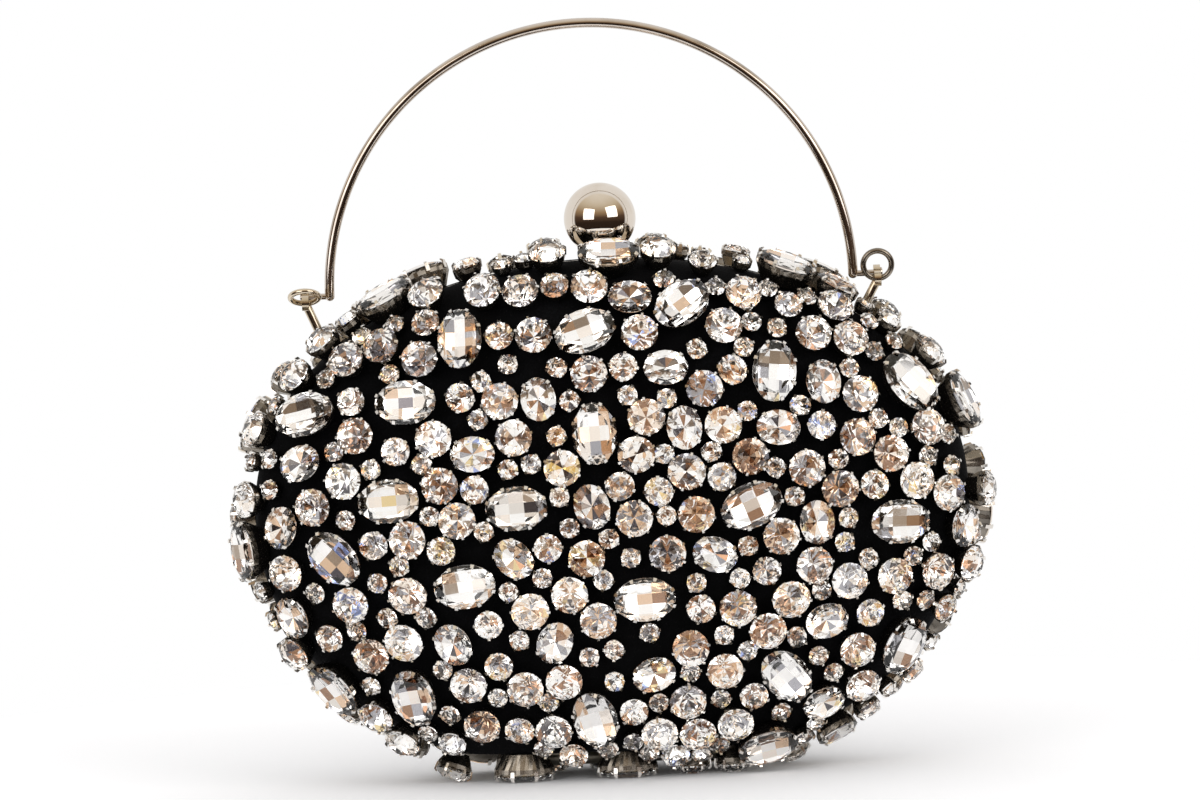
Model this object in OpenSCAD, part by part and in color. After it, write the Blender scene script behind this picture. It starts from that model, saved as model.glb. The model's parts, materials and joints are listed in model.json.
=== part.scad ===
// Hard evening clutch: two velvet covered half shells that hinge along the base, each set all over
// with foiled stones in metal cups, a ball catch on top and a wire bail handle.
// X runs to the right, Y to the back and Z up. The stones of the base stand on z = 0.

/* [Case] */
// Width of the velvet case
case_w = 159; // [158:1:175]
// Height of the case above its middle
case_top_h = 54; // [53:0.5:60]
// Depth of the flat base below the middle
case_base_h = 55; // [54:0.5:60]
// Height of the lower curve that the flat base cuts off
base_round_h = 61; // [60:0.5:68]
// Depth of the case from front to back
case_d = 48; // [46:1:56]
// Width of the metal rim of one half
frame_w = 3.2; // [3:0.1:4]
// Height of the metal rim's section
frame_t = 2.6; // [2.4:0.1:3]
// Thickness of the velvet
velvet_t = 0.6; // [0.4:0.1:0.8]
// Thickness of the hard shell
shell_t = 1; // [0.8:0.1:1.2]
// Thickness of the lining
lining_t = 0.5; // [0.3:0.1:0.6]

/* [Stones] */
// Length of a large oval stone
large_oval_l = 13.4; // [12:0.2:13.4]
// Width of a large oval stone
large_oval_w = 9.4; // [8:0.2:9.4]
// Length of a medium oval stone
medium_oval_l = 9.4; // [8:0.2:9.4]
// Width of a medium oval stone
medium_oval_w = 7.4; // [6:0.2:7.4]
// Diameter of a large round stone
large_round_d = 7.6; // [7:0.1:7.6]
// Diameter of a medium round stone
medium_round_d = 5.8; // [5:0.1:5.8]
// Diameter of a small round stone
small_round_d = 3.9; // [3.4:0.1:3.9]
// Height of a large stone's top above the velvet
large_table_h = 6.1; // [5.8:0.1:6.6]
// Height of a medium oval's top above the velvet
medium_oval_table_h = 5.2; // [5:0.1:5.6]
// Height of a medium round's top above the velvet
medium_round_table_h = 4.8; // [4.5:0.1:5]
// Height of a small round's top above the velvet
small_round_table_h = 3.4; // [3.2:0.1:3.6]

/* [Pattern] */
// Turn of the whole stone pattern about the case's middle, in degrees
pattern_turn = -2.5; // [-4:0.5:0]
// Lift of the front's stones above the middle of the pattern
pattern_rise = 1.2; // [0:0.1:1.5]

/* [Hinge] */
// Length of the base hinge
hinge_l = 46; // [36:1:50]
// Outer diameter of a hinge knuckle
knuckle_d = 3.4; // [3.2:0.1:3.6]
// Diameter of the hinge pin
hinge_pin_d = 1.6; // [1.2:0.1:1.8]

/* [Clasp] */
// Diameter of the ball
ball_d = 16; // [14:0.5:16]
// Diameter of the ball's stem
stem_d = 2.4; // [2:0.1:2.6]

/* [Handle] */
// Width of the handle between its wire's centres
handle_span = 117; // [112:1:120]
// Diameter of the handle wire
wire_d = 2.2; // [2:0.1:2.4]
// Height of the handle's pivots above the case's middle
pivot_h = 48; // [47:0.5:50]
// Sideways place of the handle's middle
handle_shift = -2.5; // [-3:0.5:3]
// Outer diameter of a spare ring
ring_d = 7.6; // [7:0.2:7.8]
// Diameter of a spare ring's wire
ring_wire_d = 1.3; // [1.1:0.1:1.4]

/* [Hidden] */

// Case shape: a superellipse outline with a rounded front and a flat base
outline_power = 2.1;
half_w = case_w / 2;
bulge = case_d / 2 - frame_w;
segments = 40;
rings = 6;
layer_gap = 0.05;
seam_gap = 0.1;
overrun = 1;
tiny = 0.001;
edge_share = 0.995;
middle_z = case_base_h + large_table_h;

// Stones and their cups
gem_gap = 0.12;
cup_wall = 0.3;
cup_floor = 0.4;
cup_lip = 0.35;
cup_clearance = 0.05;
girdle_t = 0.3;
foot_share = 0.62;
table_share = 0.58;
crown_share = 0.3;
culet_share = 0.2;
stone_sides = 28;
oval_facets = 16;
oval_foot_share = 0.64;
oval_step_share = 0.3;

// A stone's kind: length, width and height of its table
large_oval = [large_oval_l, large_oval_w, large_table_h];
medium_oval = [medium_oval_l, medium_oval_w, medium_oval_table_h];
large_round = [large_round_d, large_round_d, large_table_h];
medium_round = [medium_round_d, medium_round_d, medium_round_table_h];
small_round = [small_round_d, small_round_d, small_round_table_h];

// Share of a stone's height that it stands out past the case at the sides
edge_lean_share = 0.9;

// Places of the stones on the front: percent of the pattern's half width, percent of its half
// height and turn of the long side in degrees
pattern_half_w = half_w + large_table_h * edge_lean_share;
pattern_half_h = case_top_h + large_table_h;
large_oval_shares = [
    [-65.5, 76, 48], [-39, 59.8, 92], [-7.7, 62.7, 20], [18, 72.6, 40], [-1.3, 92, 0], [48, 87, -20],
    [-79.3, 31.7, 6], [-53.3, 36.5, 0], [-4.2, 25.4, 93], [41.8, 48.3, 83], [76.3, 44.8, -50],
    [-57, 0.2, 3], [-25, -1.2, 3], [35.8, -0.3, 22], [74.9, -5.6, -2], [-71.6, -21, -43],
    [-38, -30.2, 8], [8.4, -34.6, 3], [-96, -20, 97], [-51.4, -72.3, 97], [-3.6, -80, 103],
    [45.6, -63.6, -52], [76, -53.6, 68], [-72, -72.3, -62], [39.8, -90.4, 8]
];
medium_oval_shares = [
    [4.1, 75.2, -3], [-19.3, 38.2, 97], [13.8, 49.7, 0], [18.6, 28.2, 95], [42.6, 27.5, -5],
    [54.7, 44.3, 90], [-81, 13.7, 20], [-36.1, 18.4, 0], [-5, 0, 105], [53, -6.2, 92],
    [-86, -10.2, 65], [-25.3, -20, -48], [26.8, -18.3, -20], [92, -9.6, 80], [-41.2, -52, -62],
    [-14.8, -51.3, 65], [10.9, -62.9, 20], [55.4, -43.3, 12], [54.4, -76.4, 20], [-83.2, -44.2, -70],
    [59.3, -86.4, 20], [58.5, 82.7, -25]
];
large_round_shares = [
    [-55.2, 75.5], [-73.8, 64.5], [-60.5, 57], [-69.1, 52], [-6.2, 80], [-23.7, 77.5], [-33.4, 77],
    [-20.4, 61.6], [-50, 52.6], [-16.9, 90.8], [11.8, 92.5], [35, 77.5], [7.2, 62.7], [28.8, 65],
    [58.4, 73.6], [52.7, 62], [62, 61], [-83, 45.5], [-93.6, 25.2], [-66.8, 24.3], [-69.6, 7.8],
    [-6, 47.6], [-28.8, 37.5], [-46.3, 23.7], [-25.5, 24.4], [-44.2, 7], [-12.8, 13.6], [24, 42.4],
    [8.6, 31.7], [28.1, 28.4], [6, 18.2], [35.6, 17.3], [20.1, 11.8], [64.2, 40], [63.4, 23.6],
    [84.1, 27], [72.8, 17.2], [79.4, 7.8], [50.4, 13], [58.7, 5.5], [87.8, 2], [-77.8, -2],
    [-96, -0.8], [-52.8, -14.2], [-53.4, -33.3], [-68, -38.4], [-85, -27], [-40.3, -6.2],
    [-6.6, -19.6], [-21, -39.2], [-10.9, -33.3], [-3.7, -42.5], [5.6, -4.4], [21.7, -3.5],
    [43.3, -10.2], [14.2, -17.8], [32.5, -38.3], [45.8, -36.1], [41, -47.8], [20.3, -53],
    [52.4, -22.3], [61.3, -28.8], [73.8, -27], [85, -26], [94, -24], [-83.2, -57.6], [-62.8, -56.3],
    [-54, -52.2], [-61.7, -81.8], [-55, -89.8], [-37.3, -67.4], [-22.6, -68.5], [-11.9, -66.6],
    [-33.8, -83.2], [-15.4, -84.8], [29.3, -61.8], [19.7, -72.9], [13, -86.8], [23.4, -85.3],
    [33.4, -83.5], [63.9, -54.8], [65.5, -68.8]
];
medium_round_shares = [
    [-74, 71.5], [-14.8, 79], [-48.8, 67], [-29.2, 61], [23.6, 88.3], [46, 72.4],
    [74, 67.4], [-68, 36.5], [-56, 18.8], [-39.4, 39], [-36, 5], [2.8, 50], [31.1, 48.5],
    [28.4, 11.3], [2.2, 7], [12.5, 5.4], [54.2, 28.6], [68.3, 6.3], [-62.3, -16],
    [-73.6, -51], [-45, -17], [-16.6, -16], [-32, -44.6], [40, -24.6], [23, -38.5], [67.1, -41],
    [87.2, -40.5], [-29.2, -60.4], [37, -72.8], [5.9, -78], [-24.1, -84.7], [-41.7, -90.8],
    [66.3, -79.8], [79, -64.7], [-10, -94.5], [17, -94]
];
small_round_shares = [
    [-65.5, 63], [-58, 65.5], [-49.6, 82.6], [-28.4, 86.4], [-24.8, 91.7],
    [13.2, 81.2], [27.5, 78.2], [42.1, 80.3], [38.6, 86.5], [35.9, 66.8], [42.7, 63.7], [21.8, 56.5],
    [34, 57], [51.5, 75], [67.4, 65.5], [73.6, 58.4], [68.2, 54.4], [61.6, 49.8],
    [-74.2, 44.8], [-58, 47.8], [-88.9, 34.4], [-72.1, 18.3], [-89.4, 14.6], [-94.6, 13.1],
    [-62.4, 11.2], [-89.2, 3.4], [-34.1, 44.6], [-27, 50.7], [-14.6, 49.8], [-11.3, 37.5],
    [-34.7, 30.6], [-14.4, 24.8], [-48.7, 13.3], [-27, 12.6], [-21, 14.6], [-15, 2.2], [3.9, 39.6],
    [14.2, 38.3], [34.9, 33.8], [48, 35.3], [13.3, 18], [25.9, 19], [41.9, 13.4], [47.2, 2.5],
    [69, 30.5], [75.6, 27], [89, 29], [81.9, 16.6], [88.5, 12.5], [58.8, 15.5],
    [-69.2, -6.8], [-54.8, -23.4], [-61, -29.8], [-77.4, -34.1], [-91.8, -35.3], [-58.2, -43],
    [-47.6, -4.5], [-33.2, -9], [-11, -8.7], [-26.9, -32.4], [-18.2, -27], [-48.6, -41.8],
    [-24, -50.7], [-2.3, -28], [-1, -12.7], [14, -4], [35, -15.5], [4.8, -19.6], [21.8, -29],
    [33, -27.3], [9.7, -47.4], [29, -48.5], [61.2, -5.7], [60.2, -14.5], [54.6, -32.5],
    [66.7, -21.2], [78.2, -20.7], [83.2, -15.7], [95.3, -14], [91.2, -33], [75.8, -37],
    [81.9, -37.2], [-88.8, -46.5], [-66.2, -47.6], [-63, -69], [-44, -62], [-29.7, -72.3],
    [-5.9, -56.6], [-16.5, -74.2], [-42.5, -78.9], [-48.7, -87.3], [-17.8, -92], [0.4, -53.8],
    [35.2, -54.4], [0.5, -66.5], [20.3, -63.5], [28.3, -72.7], [11.9, -74.2], [43.9, -79.1],
    [6.7, -90.8], [-1.3, -91.3], [26.9, -91.7], [48, -51.2], [53.7, -56.8], [57.7, -63.4],
    [54.3, -83.5], [50.5, -88], [72.6, -71.2], [84, -54.2], [9.6, -94.6], [22.3, -93.6]
];

// Places of the stones round the edge: angle about the case's middle in degrees, side gap to the
// seam as a share of the stone's width, and turn of the long side from the edge's run in degrees
large_oval_rim_shares = [[12, 0.6]];
large_round_rim_shares = [[22, 0.6], [236.3, 0.6], [359.6, 0.6]];
medium_round_rim_shares = [[120, 0.6], [215.4, 0.6]];
small_round_rim_shares = [[36, 0.6], [226, 0.6]];

// Places of the stones that the case stands on: percent of the pattern's half width
base_oval_shares = [-26, 1];
base_round_shares = [18, 28.8];

function signed_power(value, power) = sign(value) * pow(abs(value), power);
function side_h(z) = z < 0 ? base_round_h : case_top_h;
function outline_level(x, z) = pow(pow(abs(x) / half_w, outline_power) +
    pow(abs(z) / side_h(z), outline_power), 1 / outline_power);
function outline_top(x) = case_top_h * pow(1 - pow(abs(x) / half_w, outline_power), 1 / outline_power);
function unit(v) = v / norm(v);

// How far the surface has turned to the front at a level: 0 on the edge and 1 at the crown
function crown_at(level) = sqrt(max(0, 1 - level * level));
function face_y(x, z) = -frame_w - bulge * crown_at(outline_level(x, z));
function face_normal(x, z) = let (level = max(outline_level(x, z), tiny),
    spread = pow(level, 2 - outline_power),
    gx = spread * signed_power(x / half_w, outline_power - 1) / half_w,
    gz = spread * signed_power(z / side_h(z), outline_power - 1) / side_h(z))
    unit([gx, -crown_at(level) / bulge, gz]);

// A place kept just inside the outline and above the flat base
function kept_in(p) = let (level = outline_level(p[0], p[1]), pull = level > edge_share ? edge_share / level : 1)
    [p[0] * pull, max(p[1] * pull, -case_base_h)];
// The foot of a stone of height h whose girdle shows at the target place, found by repeated steps
function seat(target, h, p, steps) = steps == 0 ? p :
    let (n = face_normal(p[0], p[1]), next = kept_in(target - h * [n[0], n[2]]))
    seat(target, h, (p + next) / 2, steps - 1);

function girdle_h(kind) = kind[2] - crown_share * (kind[2] - cup_floor);
function turned(p, angle) = [p[0] * cos(angle) - p[1] * sin(angle), p[0] * sin(angle) + p[1] * cos(angle)];
function pattern_place(row) = turned([row[0] / 100 * pattern_half_w, row[1] / 100 * pattern_half_h],
    pattern_turn) + [0, pattern_rise];

// Kinds of stone, and each kind's cup: half length, half width and height of its lip
kinds = [large_oval, medium_oval, large_round, medium_round, small_round];
function cup_size(kind) = [kind[0] / 2 + gem_gap + cup_wall, kind[1] / 2 + gem_gap + cup_wall,
    girdle_h(kind) + cup_lip];
cup_sizes = [for (kind = kinds) cup_size(kind)];

// The point of the case's surface under a point near it, kept a width off the seam
function on_surface(p, edge) = let (level = outline_level(p[0], p[2]),
    low = asin(max(0, min(1, (edge - frame_w) / bulge))),
    rise = max(low, atan2((-p[1] - frame_w) / bulge, level)),
    pull = cos(rise) / max(level, tiny))
    [p[0] * pull, min(-frame_w - bulge * sin(rise), -edge), max(p[2] * pull, -case_base_h)];
function surface_normal(p) = p[2] <= -case_base_h + tiny ? [0, 0, -1] : face_normal(p[0], p[2]);

// A stone: foot, outward normal, number of its kind and turn of its long side
function stone(p, k, turn) = [p, surface_normal(p), k, turn];
function face_stone(row, k) = let (target = pattern_place(row),
    p = seat(target, girdle_h(kinds[k]), kept_in(target), 12))
    stone(on_surface([p[0], face_y(p[0], p[1]), p[1]], cup_sizes[k][1] + seam_room), k, len(row) > 2 ? row[2] : 0);
function rim_stone(row, k) = let (ray = 2 * half_w * [cos(row[0]), sin(row[0])],
    p = on_surface([ray[0], -row[1] * kinds[k][1], ray[1]], cup_sizes[k][1] + seam_room))
    stone(on_surface([p[0], p[1], p[2]], cup_sizes[k][1] + seam_room), k, row[0] + 90);
function placed_stones() = [
    for (row = large_oval_shares) face_stone(row, 0),
    for (row = large_oval_rim_shares) rim_stone(row, 0),
    for (row = medium_oval_shares) face_stone(row, 1),
    for (row = large_round_shares) face_stone(row, 2),
    for (row = large_round_rim_shares) rim_stone(row, 2),
    for (row = medium_round_shares) face_stone(row, 3),
    for (row = medium_round_rim_shares) rim_stone(row, 3),
    for (row = small_round_shares) face_stone(row, 4),
    for (row = small_round_rim_shares) rim_stone(row, 4)
];
function base_places() = [
    for (share = base_oval_shares) stone([share / 100 * pattern_half_w, -base_stone_gap - cup_sizes[0][1],
        -case_base_h], 0, 0),
    for (share = base_round_shares) stone([share / 100 * pattern_half_w, -base_stone_gap - cup_sizes[2][1],
        -case_base_h], 2, 0)
];

// Settling: each stone is pushed away from the neighbours it overlaps, a few times over
seam_room = 0.45;
stone_room = 0.14;
neighbour_room = 1;
settle_rounds = 40;
// Clear width between the seam and the stones of the base
base_stone_gap = 3;
function long_side(s) = let (u = [cos(s[3]), 0, sin(s[3])]) unit(u - (u * s[1]) * s[1]);
function flare(s, h) = let (full = girdle_h(kinds[s[2]]) - 2 * girdle_t)
    h >= full || s[2] < 2 ? 1 : foot_share + (1 - foot_share) * h / full;
// How far a level slice of a stone's cup reaches along a direction
function slice_reach(s, h, away) = let (size = cup_sizes[s[2]], along = away * long_side(s), lean = away * s[1])
    flare(s, h) * sqrt(pow(size[0] * along, 2) + pow(size[1], 2) * max(0, 1 - along * along - lean * lean));
function push_at(s, hs, t, ht) = let (gap = s[0] + hs * s[1] - t[0] - ht * t[1],
    away = gap / max(norm(gap), tiny),
    overlap = slice_reach(s, hs, away) + slice_reach(t, ht, away) + stone_room - norm(gap))
    max(overlap, 0) * away;
function longer(v, w) = norm(v) > norm(w) ? v : w;
// The lowest height at which a cup has its full width
function shoulder_h(s) = s[2] < 2 ? oval_step_h(kinds[s[2]]) - cup_floor : girdle_h(kinds[s[2]]) - 2 * girdle_t;
function collar_h(s) = s[2] < 2 ? shoulder_h(s) : 0;
function push(s, t) = let (lip = min(cup_sizes[s[2]][2], cup_sizes[t[2]][2]),
    low = min(max(collar_h(s), collar_h(t)), lip))
    low == 0 ? push_at(s, lip, t, lip) : longer(push_at(s, lip, t, lip), push_at(s, low, t, low));
function base_push(s, t) = let (lip_s = cup_sizes[s[2]][2], lip_t = cup_sizes[t[2]][2])
    longer(longer(push_at(s, lip_s, t, lip_t), push_at(s, shoulder_h(s), t, shoulder_h(t))),
        longer(push_at(s, lip_s, t, shoulder_h(t)), push_at(s, shoulder_h(s), t, lip_t)));
function total(list) = list * [for (item = list) 1];
function near(s, list) = [for (j = [0 : len(list) - 1])
    if (abs(s[0][0] - list[j][0][0]) < large_oval_l + neighbour_room && s[0] != list[j][0] &&
        norm(s[0] - list[j][0]) < cup_sizes[s[2]][0] + cup_sizes[list[j][2]][0] + neighbour_room) j];
function ball_push(s) = let (h = cup_sizes[s[2]][2],
    gap = s[0] + h * s[1] - [0, 0, ball_z - middle_z],
    away = gap / norm(gap))
    max(0, slice_reach(s, h, away) + ball_d / 2 + seam_room - norm(gap)) * away;
function settle(list, pairs, fixed, rounds) = rounds == 0 ? list : settle([
    for (i = [0 : len(list) - 1])
        let (s = list[i],
            pushes = concat([for (j = pairs[i]) push(s, list[j]) / 2],
                abs(s[0][2] + case_base_h) < large_oval_l ? [for (t = fixed) base_push(s, t)] : [],
                [ball_push(s)]),
            shift = [for (axis = [0 : 2]) total([for (p = pushes) p[axis]])])
        shift == [0, 0, 0] ? s
            : stone(on_surface(s[0] + shift, cup_sizes[s[2]][1] + seam_room), s[2], s[3])
], pairs, fixed, rounds - 1);
function settled_stones() = let (placed = placed_stones())
    settle(placed, [for (s = placed) near(s, placed)], base_places(), settle_rounds);

// A round stone: flat table, sloping crown, narrow girdle and a cone below
module gem(kind) {
    r = kind[1] / 2;
    girdle = girdle_h(kind);
    low = girdle - girdle_t / 2;
    culet_h = low - (low - cup_floor) * (1 - culet_share) * r / (r + gem_gap);
    rotate_extrude($fn = stone_sides)
        polygon([[0, culet_h], [r * culet_share, culet_h], [r, low], [r, girdle + girdle_t / 2],
            [r * table_share, kind[2]], [0, kind[2]]]);
}

module cup(kind) {
    inner = kind[1] / 2 + gem_gap;
    outer = inner + cup_wall;
    girdle = girdle_h(kind);
    rotate_extrude($fn = stone_sides)
        polygon([[0, cup_clearance], [outer * foot_share, cup_clearance], [outer, girdle - 2 * girdle_t],
            [outer, girdle + cup_lip], [inner, girdle + cup_lip], [inner, girdle - girdle_t / 2 - gem_gap],
            [inner * culet_share, cup_floor], [0, cup_floor]]);
}

function oval(half_l, half_w, sides) = [for (k = [0 : sides - 1])
    let (a = 360 * (k + 0.5) / sides) [half_l * cos(a), half_w * sin(a)]];

function oval_step_h(kind) = cup_floor + oval_step_share * (girdle_h(kind) - cup_floor);

// An oval stone cut with flat facets from the table to the girdle and down to a point
module oval_gem(kind) {
    girdle = girdle_h(kind);
    edge = oval(kind[0] / 2, kind[1] / 2, oval_facets);
    n = oval_facets;
    polyhedron(
        concat([for (p = edge) [p[0] * table_share, p[1] * table_share, kind[2]]],
            [for (p = edge) [p[0], p[1], girdle]], [[0, 0, oval_step_h(kind) + gem_gap]]),
        concat([[for (k = [n - 1 : -1 : 0]) k]],
            [for (k = [0 : n - 1]) [k, (k + 1) % n, n + (k + 1) % n, n + k]],
            [for (k = [0 : n - 1]) [n + k, n + (k + 1) % n, 2 * n]]));
}

// An oval cup: a narrow foot below a wide collar
module oval_cup(kind) {
    girdle = girdle_h(kind);
    step_h = oval_step_h(kind);
    half_l = kind[0] / 2 + gem_gap + cup_wall;
    half_w = kind[1] / 2 + gem_gap + cup_wall;
    difference() {
        union() {
            translate([0, 0, cup_clearance])
                linear_extrude(step_h - cup_clearance)
                    polygon(oval(half_l * oval_foot_share, half_w * oval_foot_share, oval_facets));
            translate([0, 0, step_h - cup_floor])
                linear_extrude(girdle + cup_lip - step_h + cup_floor) polygon(oval(half_l, half_w, oval_facets));
        }
        translate([0, 0, step_h])
            linear_extrude(girdle) polygon(oval(half_l - cup_wall, half_w - cup_wall, oval_facets));
    }
}

// One layer of a half shell between two insets from the case's outer surface
module layer(inset, thickness) {
    function ring_point(inset, ring, k) = let (a = 360 * k / segments,
        level = cos(90 * ring / rings),
        x = (half_w - inset) * level * signed_power(cos(a), 2 / outline_power),
        z = (side_h(sin(a)) - inset) * level * signed_power(sin(a), 2 / outline_power))
        [x, -frame_w - (bulge - inset) * sin(90 * ring / rings), max(z, -case_base_h + inset)];
    function ring_points(inset) = [
        for (ring = [0 : rings - 1], k = [0 : segments - 1]) ring_point(inset, ring, k),
        [0, -frame_w - bulge + inset, 0]
    ];
    inner = inset + thickness;
    count = rings * segments + 1;
    function at(side, ring, k) = side * count + (ring == rings ? count - 1 : ring * segments + k % segments);
    faces = [
        for (ring = [0 : rings - 1], k = [0 : segments - 1], side = [0, 1])
            let (a = at(side, ring, k), b = at(side, ring, k + 1), c = at(side, ring + 1, k + 1),
                d = at(side, ring + 1, k))
            each ring == rings - 1 ? [side == 0 ? [a, b, c] : [c, b, a]]
                : side == 0 ? [[a, b, c], [a, c, d]] : [[c, b, a], [d, c, a]],
        for (k = [0 : segments - 1])
            let (a = at(0, 0, k), b = at(0, 0, k + 1), c = at(1, 0, k + 1), d = at(1, 0, k))
            each [[c, b, a], [d, c, a]]
    ];
    translate([0, 0, middle_z])
        polyhedron(concat(ring_points(inset), ring_points(inner)), faces);
}

module outline(inset) {
    polygon([
        for (k = [0 : segments - 1])
            let (a = 360 * k / segments)
            [(half_w - inset) * signed_power(cos(a), 2 / outline_power),
                max((side_h(sin(a)) - inset) * signed_power(sin(a), 2 / outline_power), -case_base_h + inset)]
    ]);
}

module velvet() {
    color("#0b0a0c") layer(0, velvet_t);
}

module shell() {
    color("#2a2a2c") layer(velvet_t + layer_gap, shell_t);
}

module lining() {
    color("#141416") layer(velvet_t + shell_t + 2 * layer_gap, lining_t);
}

// The metal rim of one half, with a notch for the clasp's stem
notch_gap = 0.4;
notch_w = stem_d + 2 * notch_gap;
front_notch_gap = 0.3;
module frame(notch_d) {
    color("#d9d2c4")
        difference() {
            translate([0, -seam_gap / 2, middle_z])
                rotate([90, 0, 0])
                    linear_extrude(frame_w - seam_gap / 2 - layer_gap)
                        difference() {
                            outline(0);
                            outline(frame_t);
                        }
            translate([-notch_w / 2, -notch_d, middle_z + case_top_h - frame_t - overrun])
                cube([notch_w, notch_d + overrun, frame_t + 2 * overrun]);
        }
}

// Stones of one kind on the face of one half, or all of its base
module set_stone(s, cups) {
    u = long_side(s);
    v = cross(s[1], u);
    n = s[1];
    multmatrix([[u[0], v[0], n[0], s[0][0]], [u[1], v[1], n[1], s[0][1]], [u[2], v[2], n[2], s[0][2]],
        [0, 0, 0, 1]])
        if (cups) color("#c9c2b4") if (s[2] < 2) oval_cup(kinds[s[2]]); else cup(kinds[s[2]]);
        else color("#e8dccb") if (s[2] < 2) oval_gem(kinds[s[2]]); else gem(kinds[s[2]]);
}

module face_stones(k, cups) {
    translate([0, 0, middle_z])
        for (s = settled_stones()) if (s[2] == k) set_stone(s, cups);
}

module base_stones(cups) {
    translate([0, 0, middle_z])
        for (s = base_places()) set_stone(s, cups);
}

// The back half wears the same pattern, less the stones in the way of the lugs and the tilted ball
module back_stones(k, cups) {
    stand_offs = concat(
        [for (tilt = [0, clasp_tilt])
            [[0, -lever_y + lever_y * cos(tilt) - (ball_z - lever_z) * sin(tilt),
                lever_z - middle_z + (ball_z - lever_z) * cos(tilt) + lever_y * sin(tilt)], ball_d / 2]],
        [for (side = [-1, 1])
            let (x = handle_shift + side * lug_x)
            each [[[-x, -pivot_y, pivot_h], head_eye_d / 2],
                for (share = [0, 0.5, 1])
                    let (foot_x = x * post_lean_share, foot_z = outline_top(foot_x))
                    [[-foot_x - (x - foot_x) * share, -post_y, foot_z + (pivot_h - foot_z) * share],
                        (share == 0 ? foot_flange_d : post_d) / 2]]]);
    translate([0, 0, middle_z])
        for (s = settled_stones())
            if (s[2] == k && min([for (o = stand_offs)
                min(norm(s[0] + cup_sizes[k][2] * s[1] - o[0]), norm(s[0] + s[1] - o[0])) - o[1]])
                > cup_sizes[k][0] + seam_room)
                set_stone(s, cups);
}

module back_half() {
    rotate([0, 0, 180]) children();
}

// Base hinge: two leaves with knuckles in turn on one pin
knuckles = 5;
knuckle_gap = 0.15;
pin_clearance = 0.05;
leaf_t = 0.6;
leaf_w = 2.4;
leaf_seam_gap = 0.3;
hinge_gap = 0.1;
pin_drop = knuckle_d / 2 + leaf_t + hinge_gap;
hinge_z = middle_z - case_base_h - pin_drop;
knuckle_l = (hinge_l - (knuckles - 1) * knuckle_gap) / knuckles;
module hinge_leaf(first, side) {
    color("#cfc7b6")
        difference() {
            union() {
                for (k = [first : 2 : knuckles - 1])
                    translate([-hinge_l / 2 + k * (knuckle_l + knuckle_gap), 0, hinge_z]) {
                        rotate([0, 90, 0]) cylinder(h = knuckle_l, d = knuckle_d, $fn = 32);
                        translate([0, side < 0 ? -leaf_seam_gap - leaf_t * 2 : leaf_seam_gap, 0])
                            cube([knuckle_l, leaf_t * 2, pin_drop - layer_gap]);
                    }
                translate([-hinge_l / 2, side < 0 ? -leaf_seam_gap - leaf_w : leaf_seam_gap,
                    hinge_z + pin_drop - layer_gap - leaf_t])
                    cube([hinge_l, leaf_w, leaf_t]);
            }
            translate([-hinge_l / 2 - overrun, 0, hinge_z])
                rotate([0, 90, 0])
                    cylinder(h = hinge_l + 2 * overrun, d = hinge_pin_d + 2 * pin_clearance, $fn = 32);
        }
}

head_t = 0.6;
head_step = 0.45;
head_d = hinge_pin_d + 2 * head_step;
module hinge_pin() {
    color("#bfb7a6")
        translate([-hinge_l / 2 - pin_clearance - head_t, 0, hinge_z])
            rotate([0, 90, 0]) {
                cylinder(h = hinge_l + 2 * pin_clearance + 2 * head_t, d = hinge_pin_d, $fn = 32);
                cylinder(h = head_t, d = head_d, $fn = 32);
                translate([0, 0, hinge_l + 2 * pin_clearance + head_t]) cylinder(h = head_t, d = head_d, $fn = 32);
            }
}

clasp_tilt = 12;

// Ball catch: a ball on a lever in the back half, whose nose drops in front of the front half's keeper
ball_lift = 0.9;
ball_z = middle_z + case_top_h + ball_lift + ball_d / 2;
lever_y = 2.6;
lever_drop = 8.9;
lever_z = middle_z + case_top_h - lever_drop;
lever_w = 3.2;
hub_d = 4;
clasp_pin_d = 1.6;
arm_t = 0.8;
arm_rise = 3.9;
arm_z = lever_z + arm_rise;
arm_reach = 3.5;
nose_t = 0.45;
nose_drop = 0.7;
keeper_bar_d = 1.2;
keeper_y = -2.2;
keeper_drop = 0.1;
keeper_z = arm_z - nose_drop - keeper_drop - keeper_bar_d / 2;
stem_depth = 5;
module clasp_ball() {
    color("#efe9df")
        difference() {
            translate([0, 0, ball_z]) sphere(d = ball_d, $fn = 64);
            translate([0, 0, ball_z - ball_d / 2 - overrun])
                cylinder(h = stem_depth + overrun, d = stem_d + 2 * pin_clearance, $fn = 32);
        }
}

module clasp_lever() {
    color("#c8c0b0")
        difference() {
            union() {
                translate([0, 0, lever_z])
                    cylinder(h = ball_z - ball_d / 2 + stem_depth - layer_gap - lever_z, d = stem_d, $fn = 32);
                translate([-lever_w / 2, lever_y, lever_z])
                    rotate([0, 90, 0]) cylinder(h = lever_w, d = hub_d, $fn = 32);
                translate([-lever_w / 2, -stem_d / 2, lever_z - stem_d / 2])
                    cube([lever_w, lever_y + stem_d / 2, stem_d]);
                translate([-lever_w / 2, -arm_reach, arm_z]) cube([lever_w, arm_reach, arm_t]);
                translate([-lever_w / 2, -arm_reach, arm_z - nose_drop])
                    cube([lever_w, nose_t, nose_drop + arm_t]);
            }
            translate([-lever_w, lever_y, lever_z])
                rotate([0, 90, 0])
                    cylinder(h = 2 * lever_w, d = clasp_pin_d + 2 * pin_clearance, $fn = 32);
        }
}

cheek_t = 1;
cheek_gap = 0.3;
cheek_y = 0.4;
cheek_x = lever_w / 2 + cheek_gap;
pin_stand = 0.3;
bridge_room = 0.7;
bridge_y = lever_y + hub_d / 2 + bridge_room;
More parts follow.
